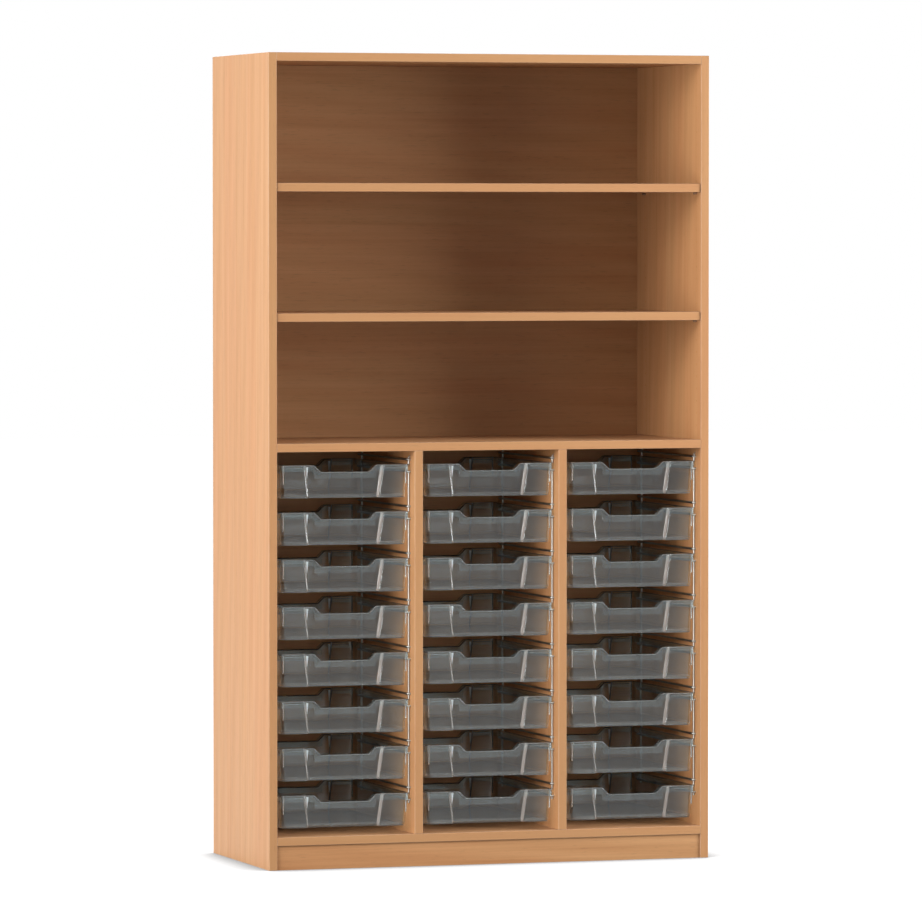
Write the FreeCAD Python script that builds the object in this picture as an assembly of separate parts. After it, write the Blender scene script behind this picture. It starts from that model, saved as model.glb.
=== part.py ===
import FreeCAD, Part
import math
import os

# Classroom tray storage unit, in millimetres.
# +X to the right, +Y from the open front to the back, +Z up.
# Origin: the centre of the footprint, on the floor.

# ---------------------------------------------------------------- layout
COLUMN_NAMES = ["left", "centre", "right"]
TRAY_ROWS = 8
TRAY_PITCH = 106.4  # rim to rim, one tray above the next
ROOF_GAP = 30.0  # highest rim to the underside of the middle panel
FLOOR_GAP = 18.2  # bottom panel to the underside of the lowest tray
SHELF_COUNT = 2
SHELF_BAY_HEIGHT = 274.0  # clear height of each open bay

# ---------------------------------------------------------------- boards
BOARD = 19.0
BACK_BOARD = 19.0
EDGE_BAND = 2.0
PLINTH_HEIGHT = 55.0
PLINTH_SETBACK = 4.0
SHELF_SETBACK = 3.0
SHELF_END_CLEARANCE = 1.0
SHELF_BACK_CLEARANCE = 1.0

# ---------------------------------------------------------- board joints
TONGUE_THICKNESS = 5.0
TONGUE_DEPTH = 9.5  # how far a tongue enters each board
TONGUE_RELIEF = 0.5  # glue space at the bottom of a groove
TONGUE_STOP = 60.0  # grooves stop this far from the board's edges

# ------------------------------------------------------------ shelf pins
PIN = 5.0  # across the flats of the eight-sided pin
PIN_REACH = 8.0  # length of pin standing out under the shelf
PIN_HOLE_DEPTH = 9.0
PIN_HOLE_CLEARANCE = 0.05  # all round
PIN_FRONT_SETBACK = 30.0
PIN_REAR_SETBACK = 60.0  # in front of the back panel

# ----------------------------------------------------------------- trays
TRAY_WIDTH = 312.0
TRAY_DEPTH = 427.0
TRAY_HEIGHT = 75.0
TRAY_WALL = 2.0
TRAY_FLOOR = 2.4
TRAY_TAPER = 3.0  # each wall leans in this far from rim to floor
TRAY_SETBACK = 7.5  # front rim behind the front of the unit
TRAY_REAR_GAP = 6.5  # rear rim to the back panel
BODY_RADIUS = 14.0  # upright corners of the tray's body
BODY_FACETS = 2  # flats in each of those corners
RIM_WIDTH = 6.0  # the body stands this far inside the rim's edge
RIM_THICKNESS = 2.0
RIM_RADIUS = 14.0
RIM_FACETS = 3  # flats in each corner of the rim
SKIRT_HEIGHT = 15.0
DIP_DEPTH = 15.5
DIP_FLAT = 114.0  # width of the level floor of the dip
DIP_SLOPE = 16.0  # width of each sloping side of the dip
RECESS_DEPTH = 14.0
RECESS_WIDTH = 188.0  # width of the finger recess at the rim
RECESS_NARROWING = 10.0  # each side, from rim to floor
RECESS_FLARE = 3.3  # each side wall opens this much towards the front

# ----------------------------------------------------------- wire racks
WIRE = 5.0  # across the flats of the eight-sided wire
RIM_SIDE_CLEARANCE = 1.4  # rim to upright wire
RIM_TOP_CLEARANCE = 7.5  # rim to the wire that stops a tray tipping
RIM_SEAT_CLEARANCE = 0.2  # skirt to the runner that carries it
WIRE_END = 31.5  # foremost point of the racks behind the front
REAR_UPRIGHT_SETBACK = 41.0  # rear upright's centre to the back panel
WIRE_TAIL = 10.0  # runners pass the rear upright by this much
UPRIGHT_OVERRUN = 8.0  # uprights pass the end runners by this much
RACK_PEG = 7.5  # bent end of an upright inside the panel
RACK_HOLE_DEPTH = 8.0
RACK_HOLE_CLEARANCE = 0.1  # all round

# --------------------------------------------------------- worked values
COLUMN_COUNT = len(COLUMN_NAMES)
SIDE_GAP = WIRE + RIM_SIDE_CLEARANCE
OPENING_WIDTH = TRAY_WIDTH + 2 * SIDE_GAP
COLUMN_PITCH = OPENING_WIDTH + BOARD
UNIT_WIDTH = COLUMN_COUNT * OPENING_WIDTH + (COLUMN_COUNT + 1) * BOARD
INNER_WIDTH = UNIT_WIDTH - 2 * BOARD
INNER_DEPTH = TRAY_SETBACK + TRAY_DEPTH + TRAY_REAR_GAP
UNIT_DEPTH = INNER_DEPTH + BACK_BOARD
FRONT = -UNIT_DEPTH / 2
BACK_FACE = FRONT + INNER_DEPTH  # front face of the back panel

BOTTOM_Z = PLINTH_HEIGHT
TRAY_BAY_Z = BOTTOM_Z + BOARD
TRAY_BAY_HEIGHT = FLOOR_GAP + TRAY_HEIGHT + (TRAY_ROWS - 1) * TRAY_PITCH + ROOF_GAP
MIDDLE_Z = TRAY_BAY_Z + TRAY_BAY_HEIGHT
SHELF_PITCH = SHELF_BAY_HEIGHT + BOARD
TOP_Z = MIDDLE_Z + BOARD + (SHELF_COUNT + 1) * SHELF_BAY_HEIGHT + SHELF_COUNT * BOARD
UNIT_HEIGHT = TOP_Z + BOARD

HIGHEST_RIM_Z = MIDDLE_Z - ROOF_GAP
TRAY_CENTRE_Y = FRONT + TRAY_SETBACK + TRAY_DEPTH / 2
FRONT_UPRIGHT_Y = FRONT + WIRE_END + 1.5 * WIRE
REAR_UPRIGHT_Y = BACK_FACE - REAR_UPRIGHT_SETBACK
TILT_WIRE_Z = RIM_TOP_CLEARANCE + WIRE / 2  # above a rim's top
CARRY_WIRE_Z = -SKIRT_HEIGHT - RIM_SEAT_CLEARANCE - WIRE / 2


def box(x_low, x_high, y_low, y_high, z_low, z_high):
    """A block between two corners."""
    corner = FreeCAD.Vector(x_low, y_low, z_low)
    return Part.makeBox(x_high - x_low, y_high - y_low, z_high - z_low, corner)


def prism(points, travel):
    """A flat outline swept along one vector."""
    outline = Part.makePolygon(points + points[:1])
    return Part.Face(outline).extrude(travel)


def eight_sided_bar(start, end, across_flats):
    """Small round stock or its hole, drawn with eight sides."""
    along = (end - start).normalize()
    across = FreeCAD.Vector(along.y, along.z, along.x)
    over = along.cross(across)
    radius = across_flats / 2 / math.cos(math.pi / 8)
    corners = []
    for corner in range(8):
        angle = (corner + 0.5) * math.pi / 4
        step = across * math.cos(angle) + over * math.sin(angle)
        corners.append(start + step * radius)
    return prism(corners, end - start)


def save(name, solids):
    """Write one node: a single solid, or a group of separate ones."""
    shape = solids[0] if len(solids) == 1 else Part.makeCompound(solids)
    shape.exportStep("parts/" + name + ".step")


# ---------------------------------------------------------------- places
def column_centre(column):
    """X of the middle of a column of trays."""
    return (column - (COLUMN_COUNT - 1) / 2) * COLUMN_PITCH


def rim_height(row):
    """Z of a tray's rim; row 0 is the highest."""
    return HIGHEST_RIM_Z - row * TRAY_PITCH


def shelf_height(shelf):
    """Z of a loose shelf's underside; shelf 0 is the lowest."""
    return MIDDLE_Z + BOARD + SHELF_BAY_HEIGHT + shelf * SHELF_PITCH


def pin_places(shelf):
    """Y and Z of the pins that carry one end of a shelf."""
    z = shelf_height(shelf) - PIN / 2
    front_pin = FRONT + PIN_FRONT_SETBACK
    rear_pin = BACK_FACE - PIN_REAR_SETBACK
    return [(front_pin, z), (rear_pin, z)]


def peg_places():
    """Y and Z of the bent upper ends of a rack's uprights."""
    z = rim_height(0) + TILT_WIRE_Z + UPRIGHT_OVERRUN
    return [(FRONT_UPRIGHT_Y, z), (REAR_UPRIGHT_Y, z)]


# ---------------------------------------------------------------- boards
def level_tongue(side, board_z):
    """Loose tongue between a side panel and the end of a level board."""
    joint_x = side * INNER_WIDTH / 2
    middle_z = board_z + BOARD / 2
    return (joint_x, middle_z, TONGUE_DEPTH, TONGUE_THICKNESS / 2)


def upright_tongue(partition_x, joint_z):
    """Loose tongue between a partition's end and a level board."""
    return (partition_x, joint_z, TONGUE_THICKNESS / 2, TONGUE_DEPTH)


def tongue_solid(tongue, relief):
    """A tongue, or with relief the groove pair that it sits in."""
    x, z, half_width, half_height = tongue
    reach_x = half_width + (relief if half_width == TONGUE_DEPTH else 0)
    reach_z = half_height + (relief if half_height == TONGUE_DEPTH else 0)
    y_low = FRONT + TONGUE_STOP
    y_high = BACK_FACE - TONGUE_STOP
    return box(x - reach_x, x + reach_x, y_low, y_high, z - reach_z, z + reach_z)


def partition_centres():
    """X of each partition's middle plane."""
    gaps = range(COLUMN_COUNT - 1)
    return [column_centre(gap) + COLUMN_PITCH / 2 for gap in gaps]


def all_tongues():
    """Every glued joint of the carcass."""
    tongues = []
    for board_z in (TOP_Z, MIDDLE_Z, BOTTOM_Z):
        tongues.append(level_tongue(-1, board_z))
        tongues.append(level_tongue(1, board_z))
    for partition_x in partition_centres():
        tongues.append(upright_tongue(partition_x, MIDDLE_Z))
        tongues.append(upright_tongue(partition_x, TRAY_BAY_Z))
    return tongues


def grooved(board):
    """Cut the tongues' grooves that fall inside a board."""
    for tongue in all_tongues():
        groove = tongue_solid(tongue, TONGUE_RELIEF)
        if board.common(groove).Volume > 0:
            board = board.cut(groove)
    return board


def drilled(board, face_x, into, places, across_flats, depth):
    """Drill blind holes along X into one face of a board."""
    for y, z in places:
        mouth = FreeCAD.Vector(face_x, y, z)
        bottom = FreeCAD.Vector(face_x + into * depth, y, z)
        board = board.cut(eight_sided_bar(mouth, bottom, across_flats))
    return board


def drilled_for_rack(board, face_x, into):
    """Drill the holes for the pegs of the rack on one face."""
    size = WIRE + 2 * RACK_HOLE_CLEARANCE
    return drilled(board, face_x, into, peg_places(), size, RACK_HOLE_DEPTH)


def save_board(name, core, band):
    """Save a board and the band glued along its front edge."""
    save(name, [grooved(core)])
    save(name + "_edge_band", [band])


def side_panel(side):
    """Full-height end panel; side is -1 for left, 1 for right."""
    inner = side * INNER_WIDTH / 2
    outer = side * UNIT_WIDTH / 2
    low = min(inner, outer)
    high = max(inner, outer)
    core = box(low, high, FRONT + EDGE_BAND, FRONT + UNIT_DEPTH, 0, UNIT_HEIGHT)
    band = box(low, high, FRONT, FRONT + EDGE_BAND, 0, UNIT_HEIGHT)
    pin_size = PIN + 2 * PIN_HOLE_CLEARANCE
    for shelf in range(SHELF_COUNT):
        core = drilled(core, inner, side, pin_places(shelf), pin_size, PIN_HOLE_DEPTH)
    return drilled_for_rack(core, inner, side), band


def level_board(z, back_y):
    """A level board between the end panels, with its edge band."""
    half = INNER_WIDTH / 2
    core = box(-half, half, FRONT + EDGE_BAND, back_y, z, z + BOARD)
    band = box(-half, half, FRONT, FRONT + EDGE_BAND, z, z + BOARD)
    return core, band


def partition(x):
    """Upright board between two columns of trays."""
    low = x - BOARD / 2
    high = x + BOARD / 2
    core = box(low, high, FRONT + EDGE_BAND, BACK_FACE, TRAY_BAY_Z, MIDDLE_Z)
    band = box(low, high, FRONT, FRONT + EDGE_BAND, TRAY_BAY_Z, MIDDLE_Z)
    core = drilled_for_rack(core, low, 1)
    return drilled_for_rack(core, high, -1), band


def loose_shelf(z):
    """Adjustable shelf with clearance all round, and its edge band."""
    half = INNER_WIDTH / 2 - SHELF_END_CLEARANCE
    front = FRONT + SHELF_SETBACK
    back = BACK_FACE - SHELF_BACK_CLEARANCE
    core = box(-half, half, front + EDGE_BAND, back, z, z + BOARD)
    band = box(-half, half, front, front + EDGE_BAND, z, z + BOARD)
    return core, band


def shelf_pins():
    """Steel pins under both ends of every loose shelf."""
    pins = []
    for shelf in range(SHELF_COUNT):
        for y, z in pin_places(shelf):
            for side in (-1, 1):
                tip = FreeCAD.Vector(side * (INNER_WIDTH / 2 - PIN_REACH), y, z)
                root = FreeCAD.Vector(side * (INNER_WIDTH / 2 + PIN_HOLE_DEPTH), y, z)
                pins.append(eight_sided_bar(tip, root, PIN))
    return pins


def build_carcass():
    """All boards, bands, plinths, tongues and shelf pins."""
    save_board("left_side_panel", *side_panel(-1))
    save_board("right_side_panel", *side_panel(1))
    save_board("top_panel", *level_board(TOP_Z, FRONT + UNIT_DEPTH))
    save_board("middle_panel", *level_board(MIDDLE_Z, BACK_FACE))
    save_board("bottom_panel", *level_board(BOTTOM_Z, BACK_FACE))
    for name, x in zip(("left_partition", "right_partition"), partition_centres()):
        save_board(name, *partition(x))
    save_board("lower_shelf", *loose_shelf(shelf_height(0)))
    save_board("upper_shelf", *loose_shelf(shelf_height(1)))
    half = INNER_WIDTH / 2
    back_edge = FRONT + UNIT_DEPTH
    save("back_panel", [box(-half, half, BACK_FACE, back_edge, BOTTOM_Z, TOP_Z)])
    plinth_front = FRONT + PLINTH_SETBACK
    plinth = box(-half, half, plinth_front, plinth_front + BOARD, 0, PLINTH_HEIGHT)
    save("front_plinth", [plinth])
    save("rear_plinth", [box(-half, half, BACK_FACE, back_edge, 0, PLINTH_HEIGHT)])
    save("joint_tongues", [tongue_solid(tongue, 0) for tongue in all_tongues()])
    save("shelf_pins", shelf_pins())


# ----------------------------------------------------------------- trays
def corner_points(half_width, half_depth, radius, facets):
    """A rounded corner in plan, in equal flats, from front to side."""
    points = []
    for step in range(facets + 1):
        angle = math.pi / 2 * (1 - step / facets)
        x = half_width - radius + radius * math.cos(angle)
        y = half_depth - radius + radius * math.sin(angle)
        points.append((x, y))
    return points


def mirrored_outline(quarter, z):
    """A closed outline from its quarter, front and side alike."""
    front = [(-x, y) for x, y in reversed(quarter)] + quarter
    back = [(-x, -y) for x, y in front]
    return [FreeCAD.Vector(x, y, z) for x, y in front + back]


def rim_slab(inset, facets):
    """The tray's full height inside its rim's outline, inset."""
    half_width = TRAY_WIDTH / 2 - inset
    half_depth = TRAY_DEPTH / 2 - inset
    quarter = corner_points(half_width, half_depth, RIM_RADIUS - inset, facets)
    outline = mirrored_outline(quarter, -TRAY_HEIGHT)
    return prism(outline, FreeCAD.Vector(0, 0, TRAY_HEIGHT))


def rim_line(z):
    """The rim seen from the front at height z, dipping in the middle."""
    flat = DIP_FLAT / 2
    shoulder = flat + DIP_SLOPE
    edge = TRAY_WIDTH / 2 + RIM_WIDTH
    stations = [(-edge, 0), (-shoulder, 0), (-flat, -DIP_DEPTH)]
    stations += [(flat, -DIP_DEPTH), (shoulder, 0), (edge, 0)]
    return [FreeCAD.Vector(x, -TRAY_DEPTH, z + drop) for x, drop in stations]


def rim_band(z_low, z_high):
    """A band that follows the rim's dip, right through front and back."""
    outline = rim_line(z_high) + rim_line(z_low)[::-1]
    return prism(outline, FreeCAD.Vector(0, 2 * TRAY_DEPTH, 0))


def body_outline(z, inset):
    """Plan of the tapering body at height z below the rim, with recesses."""
    lean = -z / TRAY_HEIGHT
    half_width = TRAY_WIDTH / 2 - RIM_WIDTH - TRAY_TAPER * lean - inset
    half_depth = TRAY_DEPTH / 2 - RIM_WIDTH - TRAY_TAPER * lean - inset
    mouth = RECESS_WIDTH / 2 - RECESS_NARROWING * lean + inset
    bed = mouth - RECESS_FLARE
    quarter = [(bed, half_depth - RECESS_DEPTH), (mouth, half_depth)]
    quarter += corner_points(half_width, half_depth, BODY_RADIUS - inset, BODY_FACETS)
    return mirrored_outline(quarter, z)


def body_block(z_low, z_high, inset):
    """Solid of flat faces between the body's outlines at two heights."""
    lower = body_outline(z_low, inset)
    upper = body_outline(z_high, inset)
    rings = [lower, upper]
    for here in range(len(lower)):
        there = here - 1
        rings.append([lower[there], lower[here], upper[here], upper[there]])
    faces = [Part.Face(Part.makePolygon(ring + ring[:1])) for ring in rings]
    return Part.Solid(Part.Shell(faces))


def tray():
    """One tray, with the top of its rim at z = 0 and centred in plan."""
    rim = rim_slab(0, RIM_FACETS).common(rim_band(-SKIRT_HEIGHT, 0))
    under = rim_slab(TRAY_WALL, 1).common(rim_band(-TRAY_HEIGHT, -RIM_THICKNESS))
    body = body_block(-TRAY_HEIGHT, 0, 0).common(rim_band(-2 * TRAY_HEIGHT, 0))
    inside = body_block(TRAY_FLOOR - TRAY_HEIGHT, TRAY_WALL, TRAY_WALL)
    return rim.cut(under).fuse(body).cut(inside).removeSplitter()


def build_trays():
    """Eight trays in each column."""
    pattern = tray()
    for column, column_name in enumerate(COLUMN_NAMES):
        for row in range(TRAY_ROWS):
            place = FreeCAD.Vector(column_centre(column), TRAY_CENTRE_Y, rim_height(row))
            name = "tray_" + column_name + "_" + str(row + 1)
            save(name, [pattern.translated(place).Solids[0]])


# ----------------------------------------------------------------- racks
def bent_wire(start, corner, end):
    """Two runs of wire at a right angle, joined by a mitred bend."""
    runs = []
    for tip, other in ((start, end), (end, start)):
        along = (corner - tip).normalize()
        run = eight_sided_bar(tip, corner + along * WIRE, WIRE)
        runs.append(run.cut(beyond_mitre(tip, corner, other)))
    return runs[0].fuse(runs[1]).removeSplitter().Solids[0]


def beyond_mitre(tip, corner, other):
    """Wedge on the far side of a bend's mitre from a run's tip."""
    forward = (corner - tip).normalize() * (2 * WIRE)
    sideways = (other - corner).normalize() * (2 * WIRE)
    across = forward.cross(sideways).normalize() * (2 * WIRE)
    start = corner - across / 2
    outline = [start - forward + sideways, start + forward + sideways, start + forward - sideways]
    return prism(outline, across)


def rack_wires(face_x, inward):
    """Uprights and runners of the rack on one face of a column."""
    upright_x = face_x + inward * WIRE / 2
    runner_x = upright_x + inward * WIRE
    bend_y = FRONT + WIRE_END + WIRE / 2
    tail_y = REAR_UPRIGHT_Y + WIRE_TAIL
    foot_z = rim_height(TRAY_ROWS - 1) + CARRY_WIRE_Z - UPRIGHT_OVERRUN
    wires = []
    for y, z in peg_places():
        foot = FreeCAD.Vector(upright_x, y, foot_z)
        head = FreeCAD.Vector(upright_x, y, z)
        peg_end = FreeCAD.Vector(face_x - inward * RACK_PEG, y, z)
        wires.append(bent_wire(foot, head, peg_end))
    tail = FreeCAD.Vector(runner_x, tail_y, 0)
    bend = FreeCAD.Vector(runner_x, bend_y, 0)
    tip = FreeCAD.Vector(face_x, bend_y, 0)
    runner = bent_wire(tail, bend, tip)
    for row in range(TRAY_ROWS):
        for offset in (TILT_WIRE_Z, CARRY_WIRE_Z):
            lift = FreeCAD.Vector(0, 0, rim_height(row) + offset)
            wires.append(runner.translated(lift))
    return wires


def build_racks():
    """A wire rack on each side of every column."""
    for column, column_name in enumerate(COLUMN_NAMES):
        left_face = column_centre(column) - OPENING_WIDTH / 2
        right_face = column_centre(column) + OPENING_WIDTH / 2
        save(column_name + "_column_left_rack", rack_wires(left_face, 1))
        save(column_name + "_column_right_rack", rack_wires(right_face, -1))


os.makedirs("parts", exist_ok=True)
build_carcass()
build_trays()
build_racks()
print("unit", UNIT_WIDTH, "x", UNIT_DEPTH, "x", UNIT_HEIGHT)
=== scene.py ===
"""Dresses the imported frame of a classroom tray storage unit.

Beech boards with eased edges, clear smoky trays and chromed wire racks.
Metres, +X to the right, +Y from the open front to the back, +Z up.
"""
import logging
import math
from collections.abc import Callable, Iterator
from contextlib import contextmanager
from dataclasses import dataclass, field
from enum import Enum
from functools import cached_property

import bmesh
import bpy
from mathutils import Matrix, Vector


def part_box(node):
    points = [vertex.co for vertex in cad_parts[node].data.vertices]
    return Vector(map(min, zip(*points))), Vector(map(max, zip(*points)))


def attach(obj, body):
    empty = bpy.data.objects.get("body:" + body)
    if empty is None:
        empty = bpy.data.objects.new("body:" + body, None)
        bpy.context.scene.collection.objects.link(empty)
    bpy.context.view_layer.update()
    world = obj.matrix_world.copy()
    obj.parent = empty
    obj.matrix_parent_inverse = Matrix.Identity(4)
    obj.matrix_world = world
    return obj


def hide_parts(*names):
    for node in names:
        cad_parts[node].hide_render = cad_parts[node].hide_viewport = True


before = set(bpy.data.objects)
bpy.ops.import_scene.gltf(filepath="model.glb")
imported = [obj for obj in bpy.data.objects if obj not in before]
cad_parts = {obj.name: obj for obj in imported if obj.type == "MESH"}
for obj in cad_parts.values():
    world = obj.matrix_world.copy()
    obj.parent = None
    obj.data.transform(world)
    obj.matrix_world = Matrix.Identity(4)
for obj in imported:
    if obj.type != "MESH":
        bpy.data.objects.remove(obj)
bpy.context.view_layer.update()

Triple = tuple[float, float, float]
Colour = Triple
Edge = bmesh.types.BMEdge
Face = bmesh.types.BMFace
Material = bpy.types.Material
Node = bpy.types.Node
Piece = bpy.types.Object
Socket = bpy.types.NodeSocket
Tree = bpy.types.NodeTree

MM = 0.001
TOUCH = 0.1 * MM
COLUMNS = ("left", "centre", "right")
ROWS = 8
WHITE = (1.0, 1.0, 1.0)
log = logging.getLogger("tray_unit")


class Grain(Enum):
    """The way a board's fibres run, as the turn that lays them along X."""

    LEVEL = (0.0, 0.0, 0.0)
    UPRIGHT = (0.0, math.pi / 2, 0.0)


class Hand(Enum):
    """The side of a tray column that a rack stands on."""

    LEFT = 1
    RIGHT = -1


class TrayPart(Enum):
    """The parts of a tray with a finish of their own, in material order."""

    BODY = 0
    # Paler, hazier plastic on the rim, foot, wall edges, ribs and beads: a painted highlight.
    EDGE = 1
    # Beige, hazier plastic on the recess flanks: a painted highlight.
    FLANK_HIGHLIGHT = 2
    # Near-white plastic of the cones in the recess corners: a painted highlight.
    HIGHLIGHT_DROP = 3


# ------------------------------------------------------------ node work
def paint(red: int, green: int, blue: int) -> Colour:
    """A display colour, 0 to 255, as the linear colour a shader takes."""
    steps = (red / 255, green / 255, blue / 255)
    return tuple(s / 12.92 if s <= 0.04045 else ((s + 0.055) / 1.055) ** 2.4 for s in steps)


class NodeDesk:
    """Places and links the nodes of one tree."""

    def __init__(self, tree: Tree) -> None:
        """Start on a tree."""
        self.tree = tree

    def add(self, kind: str, feeds: dict | None = None, **settings: object) -> Node:
        """Place one node.

        Args:
            kind: Blender's name for the node, after ShaderNode.
            feeds: socket name or number to a value or another node's output.
            settings: the node's own settings.

        Returns:
            The new node.
        """
        node = self.tree.nodes.new("ShaderNode" + kind)
        for name, value in settings.items():
            setattr(node, name, value)
        self.fill(node, feeds or {})
        return node

    def fill(self, node: Node, feeds: dict) -> None:
        """Link outputs to a node's inputs, or set the inputs' own values.

        Args:
            node: the node whose inputs are filled.
            feeds: socket name or number to an output, a number, a vector or a colour.
        """
        for name, value in feeds.items():
            socket = node.inputs[name]
            if isinstance(value, Socket):
                self.tree.links.new(value, socket)
            elif socket.type == "RGBA":
                socket.default_value = (*value[:3], 1.0)
            else:
                socket.default_value = value

    def effect(self, tree: Tree, **feeds: object) -> dict[str, Socket]:
        """Place a shared node group with its inputs filled, and give its outputs."""
        return self.add("Group", feeds, node_tree=tree).outputs

    def sum(self, operation: str, first: object, second: object) -> Socket:
        """One step of arithmetic on numbers or outputs, by Blender's name for it."""
        return self.add("Math", {0: first, 1: second}, operation=operation).outputs[0]

    def times(self, first: object, second: object) -> Socket:
        """The product of two numbers or outputs."""
        return self.sum("MULTIPLY", first, second)

    def plus(self, first: object, second: object) -> Socket:
        """The sum of two numbers or outputs."""
        return self.sum("ADD", first, second)

    def stretch(self, place: Socket, scale: Triple) -> Socket:
        """A place multiplied axis by axis."""
        return self.add("VectorMath", {0: place, 1: scale}, operation="MULTIPLY").outputs[0]

    def blend(self, share: object, base: object, over: object, way: str = "MIX") -> Socket:
        """Lay a share of one colour over another, by one of Blender's blend types."""
        feeds = {0: share, 6: base, 7: over}
        return self.add("Mix", feeds, data_type="RGBA", blend_type=way).outputs[2]

    def noise(self, place: Socket, scale: Triple, detail: float,
              roughness: float = 0.55) -> Socket:
        """Cloudy noise.

        Args:
            place: where on the piece it is read.
            scale: its fineness along each axis.
            detail: how many finer layers it has.
            roughness: how strong those layers are.

        Returns:
            The noise's socket, 0 to 1.
        """
        feeds = {"Vector": self.stretch(place, scale), "Scale": 1.0, "Detail": detail,
                 "Roughness": roughness}
        return self.add("TexNoise", feeds).outputs[0]

    def between(self, value: object, low: float, high: float, out_low: float = 0.0,
                out_high: float = 1.0) -> Socket:
        """Carry a value smoothly from out_low, up to low, to out_high, from high on."""
        feeds = {0: value, 1: low, 2: high, 3: out_low, 4: out_high}
        return self.add("MapRange", feeds, interpolation_type="SMOOTHSTEP").outputs[0]

    def bump(self, height: Socket, strength: float, distance: float) -> Socket:
        """The normal of a surface with fine relief."""
        feeds = {"Strength": strength, "Distance": distance, "Height": height}
        return self.add("Bump", feeds).outputs[0]

    def looked_at(self) -> Socket:
        """Tell what is looked at from what only gets light.

        Returns:
            One for the eye, a mirror or clear plastic, and zero for light.
        """
        path = self.add("LightPath").outputs
        through = self.sum("MAXIMUM", path["Is Glossy Ray"], path["Is Transmission Ray"])
        return self.sum("MAXIMUM", path["Is Camera Ray"], through)


def effect_group(name: str, inputs: dict[str, object],
                 outputs: dict[str, str]) -> tuple[NodeDesk, dict[str, Socket], Node]:
    """Start a node group with named sockets.

    Args:
        name: the group's name.
        inputs: socket name to default; a colour has three values, a place is None.
        outputs: socket name to socket kind, Float or Color or Vector.

    Returns:
        The desk of the group, its input sockets by name and its output node.
    """
    tree = bpy.data.node_groups.new(name, "ShaderNodeTree")

    def socket(label: str, way: str, kind: str) -> bpy.types.NodeTreeInterfaceSocket:
        """Add one socket, INPUT or OUTPUT."""
        return tree.interface.new_socket(
            name=label, in_out=way, socket_type="NodeSocket" + kind)

    for label, value in inputs.items():
        if value is None:
            socket(label, "INPUT", "Vector")
        elif isinstance(value, tuple):
            socket(label, "INPUT", "Color").default_value = (*value, 1.0)
        else:
            socket(label, "INPUT", "Float").default_value = value
    for label, kind in outputs.items():
        socket(label, "OUTPUT", kind)
    nodes = tree.nodes
    return NodeDesk(tree), nodes.new("NodeGroupInput").outputs, nodes.new("NodeGroupOutput")


def new_material(name: str) -> tuple[Material, NodeDesk, Node, Socket]:
    """Start a material with its shader.

    Args:
        name: the finish's name.

    Returns:
        The material, the desk of its nodes, its Principled BSDF and the place
        on the piece.
    """
    material = bpy.data.materials.new(name)
    material.use_nodes = True
    desk = NodeDesk(material.node_tree)
    shader = material.node_tree.nodes["Principled BSDF"]
    return material, desk, shader, desk.add("TexCoord").outputs["Object"]


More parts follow.
